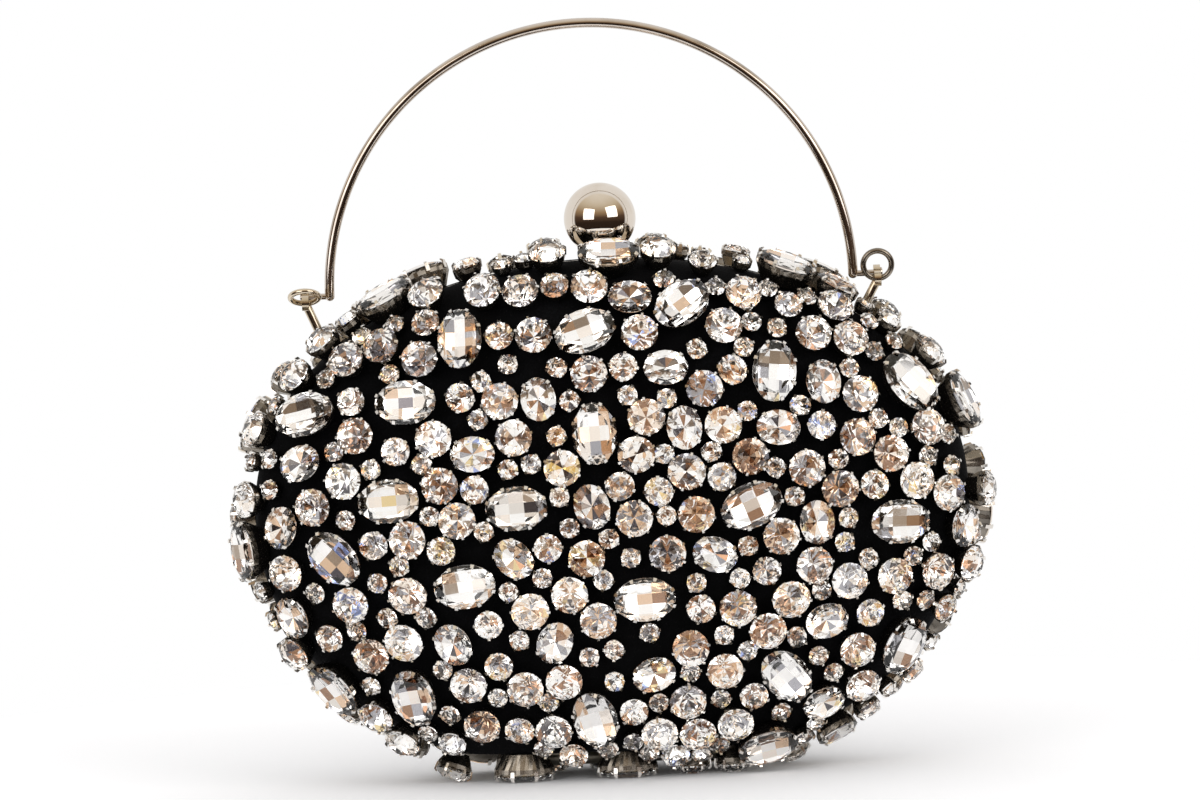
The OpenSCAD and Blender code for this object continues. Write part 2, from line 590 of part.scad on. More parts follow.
// The rim's inner edge falls a little between its middle and the clasp's cheeks
rim_fall = 0.22;
bracket_top_z = middle_z + case_top_h - frame_t - rim_fall;
module clasp_bracket() {
    color("#b9b1a0")
        difference() {
            union() {
                for (side = [-1, 1])
                    translate([side < 0 ? -cheek_x - cheek_t : cheek_x, cheek_y, lever_z - hub_d / 2]) {
                        cube([cheek_t, bridge_y - cheek_y + cheek_t, hub_d]);
                        cube([cheek_t, frame_w - cheek_y, bracket_top_z - lever_z + hub_d / 2]);
                    }
                translate([-cheek_x - cheek_t, bridge_y, lever_z - hub_d / 2])
                    cube([2 * (cheek_x + cheek_t), cheek_t, hub_d]);
            }
            translate([-cheek_x - cheek_t - overrun, lever_y, lever_z])
                rotate([0, 90, 0])
                    cylinder(h = 2 * (cheek_x + cheek_t + overrun), d = clasp_pin_d + 2 * pin_clearance, $fn = 32);
        }
}

module clasp_pin() {
    color("#a89f8e")
        translate([-cheek_x - cheek_t - pin_stand, lever_y, lever_z])
            rotate([0, 90, 0]) cylinder(h = 2 * (cheek_x + cheek_t + pin_stand), d = clasp_pin_d, $fn = 32);
}

// A leaf spring on the bridge that bears on the lever's tail
spring_t = 0.2;
module clasp_spring() {
    color("#8f8f93")
        translate([-lever_w / 2, bridge_y - spring_t - layer_gap, lever_z - hub_d / 2])
            cube([lever_w, spring_t, hub_d]);
}

keeper_t = 0.8;
keeper_gap = 0.4;
keeper_x = lever_w / 2 + keeper_gap;
keeper_w = 1.9;
module clasp_keeper() {
    color("#c8c0b0") {
        for (side = [-1, 1])
            translate([side < 0 ? -keeper_x - keeper_t : keeper_x, keeper_y - keeper_w / 2,
                keeper_z - keeper_bar_d / 2])
                cube([keeper_t, keeper_w, bracket_top_z - keeper_z + keeper_bar_d / 2]);
        translate([-keeper_x - keeper_t, keeper_y, keeper_z])
            rotate([0, 90, 0]) cylinder(h = 2 * (keeper_x + keeper_t), d = keeper_bar_d, $fn = 32);
    }
}

// Handle: a half circle of wire whose ends turn outward into pins in the lugs
pivot_y = 3.4;
pivot_z = middle_z + pivot_h;
handle_pin_d = 1.5;
cap_d = 2.4;
cap_t = 0.6;
lug_t = 1.5;
ring_room = 0.4;
lug_reach = wire_d / 2 + ring_d / 2 + ring_room;
module handle() {
    color("#d8cfbf")
        translate([handle_shift, pivot_y, pivot_z]) {
            rotate([90, 0, 0])
                rotate_extrude(angle = 180, $fn = 160)
                    translate([handle_span / 2, 0]) circle(d = wire_d, $fn = 24);
            for (side = [-1, 1]) {
                translate([side * handle_span / 2, 0, 0]) sphere(d = wire_d, $fn = 32);
                translate([side * handle_span / 2, 0, 0])
                    rotate([0, side * 90, 0]) {
                        cylinder(h = lug_reach + lug_t / 2 + pin_clearance + cap_t, d = handle_pin_d, $fn = 32);
                        translate([0, 0, lug_reach + lug_t / 2 + pin_clearance])
                            cylinder(h = cap_t, d = cap_d, $fn = 32);
                    }
            }
        }
}

// Lug: a post from the back half's rim to a head with two eyes along X
ring_eye_y = -0.9;
ring_eye_drop = 1.1;
ring_eye_z = pivot_z - ring_eye_drop;
ring_eye_gap = 0.15;
ring_eye_d = ring_wire_d + 2 * ring_eye_gap;
head_eye_d = 3.6;
ring_head_d = 3.4;
post_d = 2;
post_gap = 0.3;
foot_flange_d = 3;
foot_flange_t = 0.5;
post_y = 1.7;
post_lean_share = 0.93;
lug_x = handle_span / 2 + lug_reach;
module lug(side) {
    x = handle_shift + side * lug_x;
    foot_x = x * post_lean_share;
    foot_z = middle_z + outline_top(foot_x);
    top_z = pivot_z - head_eye_d / 2 + post_gap;
    rise = [x - foot_x, 0, top_z - foot_z];
    foot_n = face_normal(foot_x, outline_top(foot_x));
    color("#d3cabb")
        difference() {
            union() {
                translate([foot_x, post_y, foot_z])
                    rotate([0, atan2(rise[0], rise[2]), 0])
                        translate([0, 0, post_gap]) cylinder(h = norm(rise), d = post_d, $fn = 32);
                translate([foot_x, post_y, foot_z])
                    rotate([0, atan2(foot_n[0], foot_n[2]), 0])
                        translate([0, 0, layer_gap])
                            cylinder(h = foot_flange_t, d = foot_flange_d, $fn = 32);
                translate([x - lug_t / 2, pivot_y, pivot_z])
                    rotate([0, 90, 0]) cylinder(h = lug_t, d = head_eye_d, $fn = 32);
                translate([x - lug_t / 2, ring_eye_y, ring_eye_z])
                    rotate([0, 90, 0]) cylinder(h = lug_t, d = ring_head_d, $fn = 32);
                translate([x - lug_t / 2, ring_eye_y, pivot_z - head_eye_d / 2])
                    cube([lug_t, pivot_y - ring_eye_y, head_eye_d / 2]);
            }
            translate([x - lug_t, pivot_y, pivot_z])
                rotate([0, 90, 0]) cylinder(h = 2 * lug_t, d = handle_pin_d + 2 * pin_clearance, $fn = 32);
            translate([x - 2 * lug_t, ring_eye_y, ring_eye_z])
                rotate([0, 90, 0]) cylinder(h = 4 * lug_t, d = ring_eye_d, $fn = 32);
        }
}

// A spare ring through the lug's front eye: 0 lies forward and 90 stands up, in degrees
left_ring_lift = 28;
right_ring_lift = 80;
module ring(side, swing) {
    x = handle_shift + side * lug_x;
    color("#cdc5b6")
        translate([x, ring_eye_y, ring_eye_z])
            rotate([-swing, 0, 0])
                translate([0, -(ring_d - ring_wire_d) / 2, 0])
                    rotate_extrude($fn = 48)
                        translate([(ring_d - ring_wire_d) / 2, 0]) circle(d = ring_wire_d, $fn = 24);
}

back_half() shell();  // back_shell
back_half() velvet();  // back_velvet
back_half() lining();  // back_lining
back_half() frame(frame_w);  // back_frame
shell();  // front_shell
velvet();  // front_velvet
lining();  // front_lining
frame(stem_d / 2 + front_notch_gap);  // front_frame
hinge_leaf(1, 1);  // back_hinge_leaf
hinge_leaf(0, -1);  // front_hinge_leaf
hinge_pin();
clasp_ball();
clasp_lever();
clasp_bracket();
clasp_pin();
clasp_spring();
clasp_keeper();
handle();
lug(-1);  // lug_left
lug(1);  // lug_right
ring(-1, left_ring_lift);  // ring_left
ring(1, right_ring_lift);  // ring_right
face_stones(0, false);  // front_large_oval_gems
face_stones(0, true);  // front_large_oval_cups
face_stones(1, false);  // front_medium_oval_gems
face_stones(1, true);  // front_medium_oval_cups
face_stones(2, false);  // front_large_round_gems
face_stones(2, true);  // front_large_round_cups
face_stones(3, false);  // front_medium_round_gems
face_stones(3, true);  // front_medium_round_cups
face_stones(4, false);  // front_small_round_gems
face_stones(4, true);  // front_small_round_cups
base_stones(false);  // front_base_gems
base_stones(true);  // front_base_cups
back_half() back_stones(0, false);  // back_large_oval_gems
back_half() back_stones(0, true);  // back_large_oval_cups
back_half() back_stones(1, false);  // back_medium_oval_gems
back_half() back_stones(1, true);  // back_medium_oval_cups
back_half() back_stones(2, false);  // back_large_round_gems
back_half() back_stones(2, true);  // back_large_round_cups
back_half() back_stones(3, false);  // back_medium_round_gems
back_half() back_stones(3, true);  // back_medium_round_cups
back_half() back_stones(4, false);  // back_small_round_gems
back_half() back_stones(4, true);  // back_small_round_cups
back_half() base_stones(false);  // back_base_gems
back_half() base_stones(true);  // back_base_cups
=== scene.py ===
# Looks for the evening clutch: foiled crystal stones in stamped cups on black velvet, with
# polished pale fittings. Lengths are in metres unless a name says otherwise.
import json
import math

import bpy
import numpy as np
from mathutils import Matrix, Vector


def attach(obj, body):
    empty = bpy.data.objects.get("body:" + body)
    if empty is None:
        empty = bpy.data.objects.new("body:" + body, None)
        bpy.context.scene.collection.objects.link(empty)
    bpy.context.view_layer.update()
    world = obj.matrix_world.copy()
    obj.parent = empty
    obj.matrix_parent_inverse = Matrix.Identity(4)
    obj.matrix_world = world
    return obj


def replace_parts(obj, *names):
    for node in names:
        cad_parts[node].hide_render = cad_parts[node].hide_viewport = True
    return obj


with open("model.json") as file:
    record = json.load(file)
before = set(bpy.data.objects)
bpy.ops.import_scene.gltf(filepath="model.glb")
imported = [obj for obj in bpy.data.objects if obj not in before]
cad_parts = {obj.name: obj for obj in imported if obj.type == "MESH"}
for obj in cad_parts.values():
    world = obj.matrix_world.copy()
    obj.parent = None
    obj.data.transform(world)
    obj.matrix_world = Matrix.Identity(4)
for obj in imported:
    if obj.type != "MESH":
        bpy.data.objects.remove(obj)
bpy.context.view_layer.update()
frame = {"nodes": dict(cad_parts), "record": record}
mm = 0.001
rng = np.random.default_rng(17)
print("frame loaded")

# camera, floor and light
view = {
    "distance": 1.4,
    "elevation": 4,  # degrees above the horizon
    "roll": -2.5,  # degrees; the object's right side shows higher
    "width": 0.264,  # what the picture's width shows at the middle of the object
    "target": (-0.0017, -0.020, 0.0849),
    "sensor": 36,  # millimetres
}
studio = {
    "white": "#ffffff",
    "backWall": "#f3f1ef",
    "paper": "#f6f5f6",
    "plain": 0.55,  # strength of the even light on matt faces
    "softboxes": (("leftSoftbox", (-0.88, -1.18, 0.55), 1.0), ("rightSoftbox", (0.98, -1.06, 0.68), 1.1)),
    "softboxAim": (0, 0, 0.06),
    "softboxPower": 5.6,  # watts for a share of 1
    "softboxWidth": 1.0,
    "softboxHeight": 0.9,
    "floorLift": 0.44,  # how strongly the paper glows to the camera
    "floorRadius": 0.22,
    "floorZ": -0.2 * mm,
    "floorSides": 64,
    "shadowReach": 0.12,  # how far out the case's shadow stays on the paper
    # what metal sees of the room's front, from straight below to straight above
    "front": [(0.0, "#1d1714"), (0.42, "#33271f"), (0.55, "#5a4638"), (0.68, "#a68c6d"),
              (0.85, "#d9cdb9"), (1.0, "#efe9df")],
    # cut stones look out over a lit table, so what they see turns white just below the horizon
    "table": [(0.0, "#1d1714"), (0.3, "#3b2f28"), (0.42, "#a3907d"), (0.49, "#fffdfa"), (1.0, "#ffffff")],
}


def linear(hexColour):
    # sRGB hex to linear light
    parts = [int(hexColour[i : i + 2], 16) / 255 for i in (1, 3, 5)]
    return [v / 12.92 if v <= 0.04045 else ((v + 0.055) / 1.055) ** 2.4 for v in parts] + [1.0]


def addNode(tree, kind, settings=None, wires=None):
    # adds a node, sets its properties and sockets, and links other sockets into it
    node = tree.nodes.new(kind)
    for name, value in (settings or {}).items():
        if isinstance(name, int) or name in node.inputs:
            node.inputs[name].default_value = value
        else:
            setattr(node, name, value)
    for name, source in (wires or {}).items():
        tree.links.new(source, node.inputs[name])
    return node


def newMaterial(name):
    material = bpy.data.materials.new(name)
    material.use_nodes = True
    tree = material.node_tree
    tree.nodes.clear()
    shader = addNode(tree, "ShaderNodeBsdfPrincipled")
    addNode(tree, "ShaderNodeOutputMaterial", wires={"Surface": shader.outputs[0]})
    return material, tree, shader


def ramp(tree, factor, stops):
    # colour ramp over (place, hex colour) stops
    node = addNode(tree, "ShaderNodeValToRGB", wires={"Fac": factor})
    while len(node.color_ramp.elements) < len(stops):
        node.color_ramp.elements.new(0.5)
    for element, (place, colour) in zip(node.color_ramp.elements, stops):
        element.position = place
        element.color = linear(colour)
    return node.outputs["Color"]


def setCamera():
    data = bpy.data.cameras.new("camera")
    camera = bpy.data.objects.new("camera", data)
    bpy.context.scene.collection.objects.link(camera)
    data.sensor_width = view["sensor"]
    data.lens = view["sensor"] * view["distance"] / view["width"]
    data.clip_start = 0.05
    tilt = math.radians(view["elevation"])
    back = Vector((0, -math.cos(tilt), math.sin(tilt)))
    roll = Matrix.Rotation(math.radians(view["roll"]), 3, "Z")
    turn = back.to_track_quat("Z", "Y").to_matrix() @ roll
    place = Matrix.Translation(Vector(view["target"]) + back * view["distance"])
    camera.matrix_world = place @ turn.to_4x4()
    bpy.context.scene.camera = camera


def setWorld():
    # white to the camera, plain grey to matt faces, and to polished faces a white room that is
    # darker on the side where the camera stands
    scene = bpy.context.scene
    scene.view_settings.view_transform = "Standard"
    world = bpy.data.worlds.new("studio")
    scene.world = world
    world.use_nodes = True
    tree = world.node_tree
    tree.nodes.clear()
    path = addNode(tree, "ShaderNodeLightPath")
    place = addNode(tree, "ShaderNodeTexCoord")
    parts = addNode(tree, "ShaderNodeSeparateXYZ", wires={"Vector": place.outputs["Generated"]})
    shiny = addNode(tree, "ShaderNodeMath", {"operation": "MAXIMUM"},
                    {0: path.outputs["Is Glossy Ray"], 1: path.outputs["Is Transmission Ray"]})
    height = addNode(tree, "ShaderNodeMapRange", {"From Min": -1.0, "From Max": 1.0},
                     {"Value": parts.outputs["Z"]})
    front = ramp(tree, height.outputs[0], studio["front"])
    table = ramp(tree, height.outputs[0], studio["table"])
    seenBy = addNode(tree, "ShaderNodeMix", {"data_type": "RGBA"},
                     {0: path.outputs["Is Transmission Ray"], 6: front, 7: table})
    # the white back wall takes over where Y passes zero
    depth = addNode(tree, "ShaderNodeMapRange", {"From Min": -0.06, "From Max": 0.04},
                    {"Value": parts.outputs["Y"]})
    room = addNode(tree, "ShaderNodeMix", {"data_type": "RGBA", 7: linear(studio["backWall"])},
                   {0: depth.outputs[0], 6: seenBy.outputs[2]})
    white = linear(studio["white"])
    plain = addNode(tree, "ShaderNodeBackground", {"Color": white, "Strength": studio["plain"]})
    seen = addNode(tree, "ShaderNodeBackground", {"Color": white, "Strength": 1.0})
    mirrored = addNode(tree, "ShaderNodeBackground", {"Strength": 1.0}, {"Color": room.outputs[2]})
    unseen = addNode(tree, "ShaderNodeMixShader",
                     wires={0: shiny.outputs[0], 1: plain.outputs[0], 2: mirrored.outputs[0]})
    whole = addNode(tree, "ShaderNodeMixShader",
                    wires={0: path.outputs["Is Camera Ray"], 1: unseen.outputs[0], 2: seen.outputs[0]})
    addNode(tree, "ShaderNodeOutputWorld", wires={"Surface": whole.outputs[0]})


def setSoftboxes():
    for name, place, share in studio["softboxes"]:
        data = bpy.data.lights.new(name, "AREA")
        data.shape = "RECTANGLE"
        data.size = studio["softboxWidth"]
        data.size_y = studio["softboxHeight"]
        data.energy = studio["softboxPower"] * share
        lamp = bpy.data.objects.new(name, data)
        lamp.location = place
        away = Vector(place) - Vector(studio["softboxAim"])
        lamp.rotation_euler = away.to_track_quat("Z", "Y").to_euler()
        bpy.context.scene.collection.objects.link(lamp)


def makeFloor():
    # matt white paper: a flat disc of points (r cos a, r sin a)
    material, tree, shader = newMaterial("mattWhitePaper")
    shader.inputs["Base Color"].default_value = linear(studio["paper"])
    shader.inputs["Roughness"].default_value = 0.9
    # the camera and polished faces see the paper as white, less the object's shadow
    path = addNode(tree, "ShaderNodeLightPath")
    notMatt = addNode(tree, "ShaderNodeMath", {"operation": "SUBTRACT", 0: 1.0},
                      {1: path.outputs["Is Diffuse Ray"]})
    lift = addNode(tree, "ShaderNodeMath", {"operation": "MULTIPLY", 1: studio["floorLift"]},
                   {0: notMatt.outputs[0]})
    # the lift fades in the hollow under the case, which keeps the shadow there
    hollow = addNode(tree, "ShaderNodeAmbientOcclusion", {"Distance": studio["shadowReach"], "samples": 8})
    shaded = addNode(tree, "ShaderNodeMath", {"operation": "MULTIPLY"},
                     {0: lift.outputs[0], 1: hollow.outputs["AO"]})
    glow = addNode(tree, "ShaderNodeEmission", {"Color": linear(studio["white"])},
                   {"Strength": shaded.outputs[0]})
    both = addNode(tree, "ShaderNodeAddShader", wires={0: shader.outputs[0], 1: glow.outputs[0]})
    output = [n for n in tree.nodes if n.type == "OUTPUT_MATERIAL"][0]
    tree.links.new(both.outputs[0], output.inputs["Surface"])
    r, sides = studio["floorRadius"], studio["floorSides"]
    a = np.linspace(0, 2 * np.pi, sides, endpoint=False)
    points = np.stack([r * np.cos(a), r * np.sin(a), np.full(sides, studio["floorZ"])], 1)
    floor = makeMesh("paperFloor", points, [list(range(sides))], [material])


# meshes from grids
def gridFaces(rows, cols):
    # quads between neighbouring points of a rows by cols grid, whose last column joins the first
    r = np.arange(rows - 1)[:, None]
    c = np.arange(cols)[None, :]
    n = (c + 1) % cols
    corners = [r * cols + c, r * cols + n, (r + 1) * cols + n, (r + 1) * cols + c]
    return np.stack(corners, axis=-1).reshape(-1, 4)


def makeMesh(name, points, faces, materials, smooth=True, slots=None):
    mesh = bpy.data.meshes.new(name)
    mesh.from_pydata(np.asarray(points).tolist(), [], [list(map(int, face)) for face in faces])
    for material in materials:
        mesh.materials.append(material)
    if slots is not None:
        mesh.polygons.foreach_set("material_index", np.asarray(slots, dtype=np.int32))
    mesh.polygons.foreach_set("use_smooth", np.full(len(mesh.polygons), smooth))
    mesh.update()
    piece = bpy.data.objects.new(name, mesh)
    bpy.context.scene.collection.objects.link(piece)
    return piece


def carried(path, tangents, profile, up, closed):
    # carries a flat profile along a path: each point is path + profile x * side + profile y * over,
    # where side is square to the tangent and to up; a closed path joins its ends, an open one is capped
    side = np.cross(tangents, up)
    side /= np.linalg.norm(side, axis=1, keepdims=True)
    over = np.cross(side, tangents)
    over /= np.linalg.norm(over, axis=1, keepdims=True)
    points = (path[:, None, :] + profile[None, :, 0, None] * side[:, None, :]
              + profile[None, :, 1, None] * over[:, None, :])
    rows, cols = len(path), len(profile)
    faces = gridFaces(rows, cols).tolist()
    last = (rows - 1) * cols
    if closed:
        k = np.arange(cols)
        after = (k + 1) % cols
        faces += np.stack([last + k, last + after, after, k], axis=-1).tolist()
    else:
        faces += [list(range(cols))[::-1], list(range(last, last + cols))]
    return points.reshape(-1, 3), faces


def circle(radius, count):
    a = np.arange(count) * 2 * np.pi / count
    return radius * np.stack([np.cos(a), np.sin(a)], axis=1)


def facingOut(piece):
    # turns the faces of a closed mesh outwards by the sign of its volume
    mesh = piece.data
    mesh.calc_loop_triangles()
    co = np.empty(len(mesh.vertices) * 3)
    mesh.vertices.foreach_get("co", co)
    tri = np.empty(len(mesh.loop_triangles) * 3, dtype=np.int32)
    mesh.loop_triangles.foreach_get("vertices", tri)
    a, b, c = (co.reshape(-1, 3)[tri.reshape(-1, 3)[:, k]] for k in range(3))
    if np.einsum("ij,ij->i", a, np.cross(b, c)).sum() < 0:
        mesh.flip_normals()
    return piece


# materials
def metalMaterial(name, colour, deep, rough, wear, scratchMm, bump):
    # plated metal: a touch of the deep tone in broad clouds, roughness that varies with handling,
    # and fine scratches
    material, tree, shader = newMaterial(name)
    place = addNode(tree, "ShaderNodeTexCoord").outputs["Object"]
    clouds = addNode(tree, "ShaderNodeTexNoise", {"Scale": 1 / (9 * mm), "Detail": 4.0}, {"Vector": place})
    tone = addNode(tree, "ShaderNodeMix", {"data_type": "RGBA"})
    tone.inputs[6].default_value = linear(colour)
    tone.inputs[7].default_value = linear(deep)
    spread = addNode(tree, "ShaderNodeMapRange", {"From Min": 0.45, "From Max": 0.75},
                     {"Value": clouds.outputs[0]})
    tree.links.new(spread.outputs[0], tone.inputs[0])
    tree.links.new(tone.outputs[2], shader.inputs["Base Color"])
    fine = addNode(tree, "ShaderNodeTexNoise", {"Scale": 1 / (scratchMm * mm), "Detail": 3.0},
                   {"Vector": place})
    polish = addNode(tree, "ShaderNodeMapRange", {"To Min": rough, "To Max": rough + wear},
                     {"Value": fine.outputs[0]})
    tree.links.new(polish.outputs[0], shader.inputs["Roughness"])
    shader.inputs["Metallic"].default_value = 1.0
    relief = addNode(tree, "ShaderNodeBump", {"Strength": bump, "Distance": 0.02 * mm},
                     {"Height": fine.outputs[0]})
    tree.links.new(relief.outputs[0], shader.inputs["Normal"])
    return material


def velvetMaterial():
    # silk velvet with a short cut pile: nearly black, a soft grey sheen at its edges, and tufts about
    # 0.5 mm wide in nap that was brushed in patches of 11 mm
    material, tree, shader = newMaterial("cutSilkVelvet")
    place = addNode(tree, "ShaderNodeTexCoord").outputs["Object"]
    pile = addNode(tree, "ShaderNodeTexNoise", {"Scale": 1 / (0.5 * mm), "Detail": 3.0, "Roughness": 0.7},
                   {"Vector": place})
    brushed = addNode(tree, "ShaderNodeTexNoise", {"Scale": 1 / (11 * mm), "Detail": 2.0}, {"Vector": place})
    mixed = addNode(tree, "ShaderNodeMath", {"operation": "MULTIPLY"},
                    {0: pile.outputs[0], 1: brushed.outputs[0]})
    colour = ramp(tree, mixed.outputs[0], [(0.1, "#020203"), (0.3, "#060608"), (0.5, "#111114")])
    tree.links.new(colour, shader.inputs["Base Color"])
    shader.inputs["Roughness"].default_value = 0.95
    shader.inputs["Specular IOR Level"].default_value = 0.15
    shader.inputs["Sheen Weight"].default_value = 0.05
    shader.inputs["Sheen Roughness"].default_value = 0.4
    shader.inputs["Sheen Tint"].default_value = linear("#8c8c96")
    relief = addNode(tree, "ShaderNodeBump", {"Strength": 0.7, "Distance": 0.25 * mm},
                     {"Height": pile.outputs[0]})
    tree.links.new(relief.outputs[0], shader.inputs["Normal"])
    return material


def liningMaterial():
    # woven black satin: a low, even shine; its threads are drawn 1.4 mm apart, coarser than real
    # ones, so that they show
    material, tree, shader = newMaterial("blackSatinLining")
    place = addNode(tree, "ShaderNodeTexCoord").outputs["Object"]
    threads = addNode(tree, "ShaderNodeTexWave", {"Scale": 1 / (0.6 * mm) / 6.28, "Distortion": 1.5,
                                                 "bands_direction": "DIAGONAL"}, {"Vector": place})
    colour = ramp(tree, threads.outputs[0], [(0.0, "#0d0d0f"), (1.0, "#1d1d21")])
    tree.links.new(colour, shader.inputs["Base Color"])
    shader.inputs["Roughness"].default_value = 0.42
    relief = addNode(tree, "ShaderNodeBump", {"Strength": 0.4, "Distance": 0.05 * mm},
                     {"Height": threads.outputs[0]})
    tree.links.new(relief.outputs[0], shader.inputs["Normal"])
    return material


def boardMaterial():
    # pressed fibre board of the hard shell: dull dark grey with short fibres
    material, tree, shader = newMaterial("pressedFibreBoard")
    place = addNode(tree, "ShaderNodeTexCoord").outputs["Object"]
    fibres = addNode(tree, "ShaderNodeTexNoise", {"Scale": 1 / (1.2 * mm), "Detail": 5.0},
                     {"Vector": place})
    colour = ramp(tree, fibres.outputs[0], [(0.3, "#1c1b1b"), (0.7, "#322f2d")])
    tree.links.new(colour, shader.inputs["Base Color"])
    shader.inputs["Roughness"].default_value = 0.8
    return material


def glassMaterial():
    # machine cut crystal glass, clear and polished
    material, _, shader = newMaterial("cutCrystalGlass")
    shader.inputs["Base Color"].default_value = linear("#fffdfa")
    shader.inputs["Roughness"].default_value = 0.0
    shader.inputs["IOR"].default_value = 1.56
    shader.inputs["Transmission Weight"].default_value = 1.0
    return material


def foilMaterial():
    # silver foil fired on the back facets; each facet carries a painted reflection, a tone that stands in
    # for what it would mirror, with a few coloured glints
    material, tree, shader = newMaterial("silverFoilBacking")
    tone = addNode(tree, "ShaderNodeVertexColor", {"layer_name": "facetPaintedReflection"})
    tree.links.new(tone.outputs["Color"], shader.inputs["Base Color"])
    shader.inputs["Metallic"].default_value = 1.0
    shader.inputs["Roughness"].default_value = 0.06
    return material


# plated metals: colour, deep tone, roughness, what wear adds to it, scratches in mm and their relief
# warm pale gold that mirrors softly
paleGold = metalMaterial("polishedPaleGoldPlate", "#d8cbb6", "#b9a88e", 0.10, 0.08, 0.5, 0.15)
# grey silver wire with sharp streaks of light
nickelWire = metalMaterial("polishedNickelWire", "#d3c9bf", "#a89c8f", 0.07, 0.04, 0.9, 0.04)
# a clear mirror, a little warm
nickelBall = metalMaterial("polishedNickelPlate", "#e6ddd2", "#d3c6b4", 0.03, 0.03, 1.2, 0.05)
# darker grey walls that set the stones off from the velvet: painted shade, as they are the same plating as
# the claws
cupWallPaintedShade = metalMaterial("stampedRhodiumPaintedShade", "#9c958b", "#55504a", 0.18, 0.15, 0.7, 0.3)
# painted highlight: the same plating as the cup walls, made near white so that the claws show as small white
# glints round each stone
clawPaintedHighlight = metalMaterial("rhodiumClawPaintedHighlight", "#f2efea", "#cfc8bf", 0.1, 0.1, 0.7, 0.15)
# satin grey under the base, darkened as painted shade where the base hides it
hingePaintedShade = metalMaterial("satinNickelHingePaintedShade", "#857f74", "#57524a", 0.32, 0.12, 0.6, 0.2)
# brownish grey, darker than the handle: painted shade, as the ring shows dark behind the handle
ringPaintedShade = metalMaterial("nickelWirePaintedShade", "#8d8478", "#5e564c", 0.16, 0.1, 0.6, 0.2)
# cool blue grey
springSteel = metalMaterial("bluedSpringSteel", "#8a8c92", "#5b5e66", 0.25, 0.1, 0.5, 0.2)
velvet = velvetMaterial()
lining = liningMaterial()
board = boardMaterial()
crystal = glassMaterial()
foil = foilMaterial()
print("materials made")

# case: the same superellipse as the CAD case, worked out on fine grids
case = {
    "halfWidth": 79.5 * mm,
    "topHeight": 54 * mm,
    "roundHeight": 61 * mm,  # lower curve that the flat base cuts off
    "baseHeight": 55 * mm,
    "bulge": 20.8 * mm,
    "rimWidth": 3.2 * mm,
    "power": 2.1,
    "middleZ": 61.1 * mm,
    "velvet": 0.6 * mm,
    "gap": 0.05 * mm,
    "shell": 1.0 * mm,
    "lining": 0.5 * mm,
    "rows": 40,
    "cols": 240,
}


def casePoints(a, t, inset):
    # front dome: the superellipse |x/w|^p + |z/h|^p = 1 at angle a, shrunk by cos t as y moves out by
    # bulge * sin t, t from the rim to the crown, and its base cut flat
    c, s = np.cos(a), np.sin(a)
    power = 2 / case["power"]
    high = np.where(s < 0, case["roundHeight"], case["topHeight"]) - inset
    x = (case["halfWidth"] - inset) * np.cos(t) * np.sign(c) * np.abs(c) ** power
    z = np.maximum(np.cos(t) * high * np.sign(s) * np.abs(s) ** power, -case["baseHeight"] + inset)
    y = -case["rimWidth"] - (case["bulge"] - inset) * np.sin(t) + 0 * x
    return np.stack([x, y, z + case["middleZ"]], axis=-1)


def domeSheet(inset):
    # a grid of casePoints from the rim up, closed by a fan round the crown's point
    rows, cols = case["rows"], case["cols"]
    t = np.linspace(0, np.pi / 2, rows)[:-1]
    a = np.linspace(0, 2 * np.pi, cols, endpoint=False)
    points = casePoints(a[None, :], t[:, None], inset).reshape(-1, 3)
    crown = np.array([[0, -case["rimWidth"] - case["bulge"] + inset, case["middleZ"]]])
    last = (rows - 2) * cols
    fan = [[last + k, last + (k + 1) % cols, last + cols] for k in range(cols)]
    return np.concatenate([points, crown]), gridFaces(rows - 1, cols).tolist() + fan


def domeLayer(name, inset, thickness, material, half, body):
    # a wall between two domes, joined round the rim
    outer, faces = domeSheet(inset)
    inner, _ = domeSheet(inset + thickness)
    n = len(outer)
    k = np.arange(case["cols"])
    after = (k + 1) % case["cols"]
    rim = np.stack([k, k + n, after + n, after], axis=1)
    points = np.concatenate([outer, inner])
    if half == "back":
        points = points * [-1, -1, 1]
    every = faces + [[v + n for v in f[::-1]] for f in faces] + rim.tolist()
    piece = facingOut(makeMesh(name, points, every, [material]))
    piece.data.set_sharp_from_angle(angle=math.radians(60))
    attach(piece, body)
    return piece


def bodyOf(node):
    for body, members in frame["record"]["behaviour"]["bodies"].items():
        if node in members:
            return body
    return "root"


liningInset = case["velvet"] + case["shell"] + 2 * case["gap"]
for half in ("front", "back"):
    body = bodyOf(half + "_velvet")
    cover = domeLayer(half + "VelvetCover", 0, case["velvet"], velvet, half, body)
    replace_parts(cover, half + "_velvet")
    satin = domeLayer(half + "SatinLining", liningInset, case["lining"], lining, half, body)
    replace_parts(satin, half + "_lining")
print("case covered")

# wire pieces: handle, rings and the ball
handle = {
    "span": 117 * mm,
    "wire": 2.2 * mm,
    "shift": -2.5 * mm,
    "pivotY": 3.4 * mm,
    "pivotZ": 109.1 * mm,
    "pin": 1.5 * mm,
    "cap": 2.4 * mm,
    "capThickness": 0.6 * mm,
    "reach": 5.3 * mm,
    "lug": 1.5 * mm,
    "clearance": 0.05 * mm,
    "steps": 181,
    "sides": 24,
}
rings = {
    "diameter": 7.6 * mm,
    "wire": 1.3 * mm,
    "eyeY": -0.9 * mm,
    "eyeZ": 108.0 * mm,
    "leftSwing": 28,
    "rightSwing": 80,
    "steps": 64,
    "sides": 16,
}
ball = {"diameter": 16 * mm, "z": 124.0 * mm, "rows": 63, "cols": 96}


